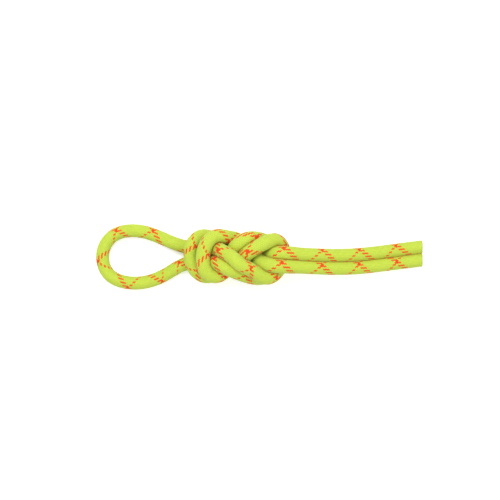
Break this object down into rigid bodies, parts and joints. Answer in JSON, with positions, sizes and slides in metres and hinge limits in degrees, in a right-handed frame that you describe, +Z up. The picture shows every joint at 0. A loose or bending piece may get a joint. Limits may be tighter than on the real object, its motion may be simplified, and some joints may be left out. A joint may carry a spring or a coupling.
{
  "type": "dynamic climbing rope",
  "caption": "Kernmantle climbing rope tied in a figure-eight on a bight, with an open loop at one end and two sealed rope ends lying side by side at the other.",
  "frame": {"origin": "centre of the rope's footprint, on the ground it lies on", "axes": "+X from the loop towards the two rope ends, +Y across the knot towards the standing part, +Z up off the ground"},
  "size_m": [0.2498, 0.0492, 0.0364],
  "materials": {
    "sheath": "tight braid, lime with red-orange tracer yarns, slight sheen",
    "core": "undyed twisted yarn",
    "tape": "thin matt film, blank",
    "sealed_end": "melted and hardened yarn"
  },
  "bodies": {
    "knot": {"sheath_knot_a": "sheath", "core_0_knot_a": "core", "core_1_knot_a": "core", "core_2_knot_a": "core", "core_3_knot_a": "core", "core_4_knot_a": "core", "core_5_knot_a": "core", "core_6_knot_a": "core", "tape_knot_a": "tape", "sheath_knot_b": "sheath", "core_0_knot_b": "core", "core_1_knot_b": "core", "core_2_knot_b": "core", "core_3_knot_b": "core", "core_4_knot_b": "core", "core_5_knot_b": "core", "core_6_knot_b": "core", "tape_knot_b": "tape"},
    "loop": {"sheath_loop": "sheath", "core_0_loop": "core", "core_1_loop": "core", "core_2_loop": "core", "core_3_loop": "core", "core_4_loop": "core", "core_5_loop": "core", "core_6_loop": "core", "tape_loop": "tape"},
    "standing_end": {"sheath_standing": "sheath", "core_0_standing": "core", "core_1_standing": "core", "core_2_standing": "core", "core_3_standing": "core", "core_4_standing": "core", "core_5_standing": "core", "core_6_standing": "core", "tape_standing": "tape", "sealed_end_standing": "sealed_end"},
    "tail_end": {"sheath_tail": "sheath", "core_0_tail": "core", "core_1_tail": "core", "core_2_tail": "core", "core_3_tail": "core", "core_4_tail": "core", "core_5_tail": "core", "core_6_tail": "core", "tape_tail": "tape", "sealed_end_tail": "sealed_end"}
  },
  "joints": [
    {"name": "loop_bend", "type": "hinge", "parent": "knot", "child": "loop", "pos_m": [-0.06447, 0, 0.00518], "axis": [0, 1, 0], "range_deg": [-45, 45]},
    {"name": "standing_bend", "type": "hinge", "parent": "knot", "child": "standing_end", "pos_m": [0.0301, 0.00208, 0.02172], "axis": [0, -1, 0], "range_deg": [-45, 45]},
    {"name": "tail_bend", "type": "hinge", "parent": "knot", "child": "tail_end", "pos_m": [0.0301, -0.00799, 0.0218], "axis": [0, -1, 0], "range_deg": [-45, 45]}
  ]
}
